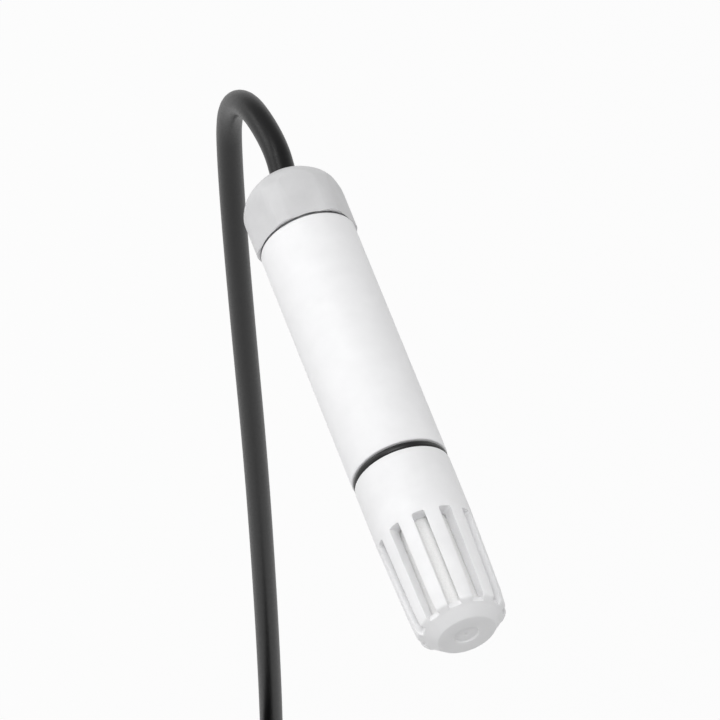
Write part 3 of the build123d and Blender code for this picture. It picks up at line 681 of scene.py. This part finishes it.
# %% Give a finish to pieces or CAD nodes
def dress(material, *pieces):
    """Sets a material on whole pieces, or on CAD nodes by name."""
    for piece in pieces:
        if isinstance(piece, str):
            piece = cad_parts[piece]
        if piece.material_slots:
            for holder in piece.material_slots:
                holder.material = material
        else:
            piece.data.materials.append(material)
        print(material.name, "on", piece.name)


# %% The visible plastics, the ring and the jacket
dress(moulded("body_white", tone(241, 241, 242), tone(245, 245, 246), 0.46, glow=0.2), tube_shell)
dress(moulded("cap_white", tone(240, 240, 241), tone(245, 245, 246), 0.44, glow=0.4), cage)
# The nut's tone is greyer than the tube's white: painted shade for the darker flats of the nut.
dress(moulded("nut_white_with_painted_shade", tone(208, 208, 209), tone(215, 215, 216), 0.48, glow=0.2), nut)
dress(moulded("ring_black", tone(13, 13, 14), tone(20, 20, 21), 0.38), ring)
jacket = moulded("jacket_black", tone(10, 10, 11), tone(15, 15, 16), 0.38, patch=9.0, grain=0.35, depth=0.005,
                 shine=0.3)
dress(jacket, cable, "cable_tail")
dress(moulded("tie_black", tone(15, 15, 16), tone(22, 22, 24), 0.45), strap)
dress(moulded("shrink_black", tone(12, 12, 13), tone(19, 19, 20), 0.34), end_cover)

# %% [markdown]
# ## The pressed grains of the sleeve
# The thimble is made of plastic grains pressed and baked until they stick. Cells of a Voronoi texture are
# the grains, and the same cells raise the surface between them, so it looks matt and slightly rough.

# %% The sleeve's finish
grain_size = 0.22
porous, tree, surface, place = new_finish("pressed_grains")
grains = add(tree, "ShaderNodeTexVoronoi", Vector=place, Scale=1 / (grain_size * MM)).outputs["Distance"]
relief = add(tree, "ShaderNodeBump", Height=grains, Strength=0.4, Distance=-0.015 * MM)
fill(
    tree, surface, Base_Color=two_tones(tree, grains, tone(249, 249, 248), tone(240, 240, 239), stop=0.9),
    Normal=relief.outputs[0], Roughness=0.85,
    Subsurface_Weight=0.5, Subsurface_Radius=(1.0, 1.0, 1.0), Subsurface_Scale=1.0 * MM,
)
dress(porous, sleeve)

# %% [markdown]
# ## The circuit boards
# The two boards show when the cap is off. A board is green lacquer over copper: tracks under the lacquer
# look a little paler, small round holes between them are tinned, and the cut edge shows the pale glass
# fibre. Bands give the tracks, nearly even Voronoi cells the holes, and the way a face looks tells the edge.

# %% Tracks and holes of the board
board, tree, surface, place = new_finish("board_lacquer")
bends = add(tree, "ShaderNodeTexNoise", Vector=place, Scale=1 / (3.0 * MM), Detail=0.0).outputs[0]
tracks = add(tree, "ShaderNodeTexWave", Vector=place, Scale=0.16 / MM, Distortion=2.2, Detail=0.0,
             Detail_Scale=0.35)
tracks.bands_direction = "X"
copper = add(tree, "ShaderNodeMapRange", Value=tracks.outputs["Fac"], From_Min=0.62, From_Max=0.7).outputs[0]
lacquer = two_tones(tree, bends, tone(12, 74, 46), tone(16, 88, 54))
tracked = blended(tree, copper, lacquer, tone(34, 122, 72))
cells = add(tree, "ShaderNodeTexVoronoi", Vector=place, Scale=1 / (1.9 * MM), Randomness=0.35)
holes = worked_out(tree, "LESS_THAN", cells.outputs["Distance"], 0.11)
tinned = blended(tree, holes, tracked, tone(206, 204, 196))

# %% Its pale edge, its relief and its gloss
facing = add(tree, "ShaderNodeSeparateXYZ", Vector=add(tree, "ShaderNodeTexCoord").outputs["Normal"])
face = worked_out(tree, "GREATER_THAN", worked_out(tree, "ABSOLUTE", facing.outputs["Z"]), 0.5)
raised = add(tree, "ShaderNodeBump", Height=copper, Strength=1.0, Distance=0.03 * MM)
gloss = add(tree, "ShaderNodeMapRange", Value=bends, To_Min=0.26, To_Max=0.38)
fill(tree, surface, Base_Color=blended(tree, face, tone(168, 162, 118), tinned), Normal=raised.outputs[0],
     Roughness=gloss.outputs[0])
dress(board, "sensor_board", "main_board")

# %% [markdown]
# ## The small parts inside
# The chips are black epoxy on tinned legs, the capacitors are brown ceramic or yellow resin, and the cores
# have the usual red, black, yellow and white jackets. A chip and its legs are one CAD node, so
# the finish changes from tin to epoxy at the height where the legs end.

# %% Epoxy over tinned legs
def on_legs(name, dark, light, rough, level):
    """Moulded body above a level in millimetres over the board's middle, and tin below it."""
    material = moulded(name, dark, light, rough, patch=1.2, grain=0.08, depth=0.003)
    tree = material.node_tree
    surface = tree.nodes["Principled BSDF"]
    body_colour = surface.inputs["Base Color"].links[0].from_socket
    heights = add(tree, "ShaderNodeSeparateXYZ", Vector=add(tree, "ShaderNodeTexCoord").outputs["Object"])
    low = worked_out(tree, "LESS_THAN", heights.outputs["Z"], level * MM)
    fill(tree, surface, Base_Color=blended(tree, low, body_colour, tone(196, 196, 192)), Metallic=low)
    return material


# %% Chips and other board parts
epoxy = on_legs("chip_epoxy", tone(26, 26, 28), tone(36, 36, 38), 0.5, 0.72)
dress(epoxy, "microcontroller", "bus_transceiver", "voltage_regulator", "surge_diode")
dress(on_legs("sensor_epoxy", tone(30, 30, 32), tone(42, 42, 44), 0.42, 0.55), "sensor_chip")
dress(on_legs("resistor_glaze", tone(22, 22, 26), tone(34, 34, 40), 0.3, 0.55), "resistors")
dress(on_legs("ceramic_brown", tone(150, 116, 84), tone(176, 142, 106), 0.36, 0.55),
      "ceramic_capacitors", "sensor_capacitor")
dress(on_legs("resin_yellow", tone(206, 150, 46), tone(222, 168, 62), 0.4, 0.66), "bulk_capacitor")

# %% Metals
tin = moulded("tin_bright", tone(186, 187, 186), tone(214, 214, 210), 0.3, patch=0.8, grain=0.12, depth=0.006,
              metal=1.0)
dress(tin, "solder_joints", "ferrule_pins")
dress(moulded("can_steel", tone(180, 182, 184), tone(200, 201, 202), 0.26, patch=1.5, grain=0.1, metal=1.0),
      "crystal")
dress(moulded("pin_gold", tone(204, 168, 92), tone(222, 188, 112), 0.28, patch=1.0, grain=0.1, metal=1.0),
      "link_pins")

# %% The cores
core_red = moulded("core_red", tone(164, 26, 24), tone(186, 36, 32), 0.36, patch=3.0)
core_black = moulded("core_black", tone(18, 18, 19), tone(27, 27, 28), 0.36, patch=3.0)
core_yellow = moulded("core_yellow", tone(214, 176, 34), tone(232, 196, 52), 0.36, patch=3.0)
core_white = moulded("core_white", tone(222, 222, 218), tone(236, 236, 232), 0.36, patch=3.0, glow=0.1)
dress(core_red, "wire_supply", "lead_supply")
dress(core_black, "wire_ground", "lead_ground")
dress(core_yellow, "wire_data_a", "lead_data_a")
dress(core_white, "wire_data_b", "lead_data_b")

# %% The gland's inner pieces, the board's holder and the ferrules' collars
nylon = moulded("nylon_natural", tone(216, 214, 202), tone(228, 226, 214), 0.42, patch=3.0, glow=0.3)
dress(nylon, "gland_collet", "cable_stop")
acetal = moulded("acetal_white", tone(226, 226, 224), tone(238, 238, 236), 0.34, patch=3.0, glow=0.2)
dress(acetal, "thrust_washer")
dress(moulded("seal_grey", tone(46, 47, 49), tone(60, 61, 63), 0.6, patch=2.0, depth=0.008), "gland_seal")
holder_grey = moulded("holder_grey", tone(58, 60, 63), tone(70, 72, 75), 0.5, patch=3.0, depth=0.006)
dress(holder_grey, "board_holder")
dress(moulded("ferrule_grey", tone(122, 124, 128), tone(138, 140, 144), 0.4, patch=2.0), "ferrule_collars")

# %% [markdown]
# ## The stage
# The photograph is taken on white. The floor lies below the hanging cable. It is a pale matt floor that
# looks white to the camera and in reflections, and still keeps a faint shadow of the probe.

# %% Show one of two shaders
def shown_as(tree, share, first, second, output):
    """Mixes two shaders by a share, and links the result to the output node of that name."""
    mixed = add(tree, "ShaderNodeMixShader")
    for socket, value in zip(mixed.inputs, (share, first.outputs[0], second.outputs[0])):
        put(tree, socket, value)
    fill(tree, tree.nodes[output], Surface=mixed.outputs[0])


# %% Floor
floor_level = -0.30
floor_width = 8
floor_glow_share = 0.9
bpy.ops.object.select_all(action="DESELECT")
bpy.ops.mesh.primitive_plane_add(size=floor_width, location=(0, 0, floor_level))
floor = bpy.context.object
floor.name = "floor"
floor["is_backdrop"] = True
floor_finish = bpy.data.materials.new("floor_white")
floor_finish.use_nodes = True
tree = floor_finish.node_tree
matt = fill(tree, tree.nodes["Principled BSDF"], Base_Color=tone(238, 238, 238), Roughness=0.9,
            Specular_IOR_Level=0.0)
glow = add(tree, "ShaderNodeEmission", Color=(1, 1, 1, 1), Strength=1.0)
rays = add(tree, "ShaderNodeLightPath").outputs
mirrored = worked_out(tree, "MAXIMUM", rays["Is Glossy Ray"], rays["Is Transmission Ray"])
seen = worked_out(tree, "MAXIMUM", rays["Is Camera Ray"], mirrored)
shown_as(tree, worked_out(tree, "MULTIPLY", seen, floor_glow_share), matt, glow, "Material Output")
floor.data.materials.append(floor_finish)
print("floor at", floor_level, "m")

# %% [markdown]
# ## Light
# Most of the light comes from a broad lamp above and a little in front, which models the white tube. A narrow
# lamp above and a broad one low down, both behind on the left, put a grey gleam on the near stretch of
# cable, and two weak ones at the sides keep the shaded faces open. One lamp would be simpler, but its
# shadows would be deeper than the photograph's. The white surroundings fill in the rest at a plain level.

# %% Lamps
def lamp(name, direction, distance, width, height, power):
    """Area lamp that faces the probe, with its width level. Sizes in metres, power in watts."""
    data = bpy.data.lights.new(name, "AREA")
    data.shape = "RECTANGLE"
    data.size = width
    data.size_y = height
    data.energy = power
    made = bpy.data.objects.new(name, data)
    bpy.context.collection.objects.link(made)
    towards = Vector(direction).normalized()
    made.location = towards * distance
    made.rotation_euler = towards.to_track_quat("Z", "Y").to_euler()
    print("lamp", name, power, "W")


lamp("key", (-0.35, 0.55, 0.75), distance=0.9, width=0.5, height=0.2, power=1.4)
lamp("top", (-0.12, -0.27, 0.95), distance=1.1, width=0.5, height=0.5, power=4.6)
lamp("back", (-0.7, 0.75, 0.25), distance=1.0, width=0.5, height=0.5, power=1.7)
lamp("left_fill", (-1.0, -0.1, 0.35), distance=1.0, width=0.6, height=0.6, power=1.3)
lamp("right_fill", (1.0, 0.1, 0.3), distance=1.0, width=0.6, height=0.6, power=1.2)

# %% White surroundings
surroundings_strength = 0.41
world = bpy.data.worlds.new("white_room")
bpy.context.scene.world = world
world.use_nodes = True
tree = world.node_tree
dim = fill(tree, tree.nodes["Background"], Color=(1, 1, 1, 1), Strength=surroundings_strength)
bright = add(tree, "ShaderNodeBackground", Color=(1, 1, 1, 1), Strength=1.0)
camera_rays = add(tree, "ShaderNodeLightPath").outputs["Is Camera Ray"]
shown_as(tree, camera_rays, dim, bright, "World Output")
bpy.context.scene.view_settings.view_transform = "Standard"
print("surroundings at", surroundings_strength)

# %% [markdown]
# ## Sizes
# The size of the dressed model is printed beside that of the CAD model.

# %% Sizes and finish
boxes = {"cad": cad_box, "model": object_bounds()}
for name, (low, high) in boxes.items():
    print(name, [round(v / MM, 2) for v in low], [round(v / MM, 2) for v in high])
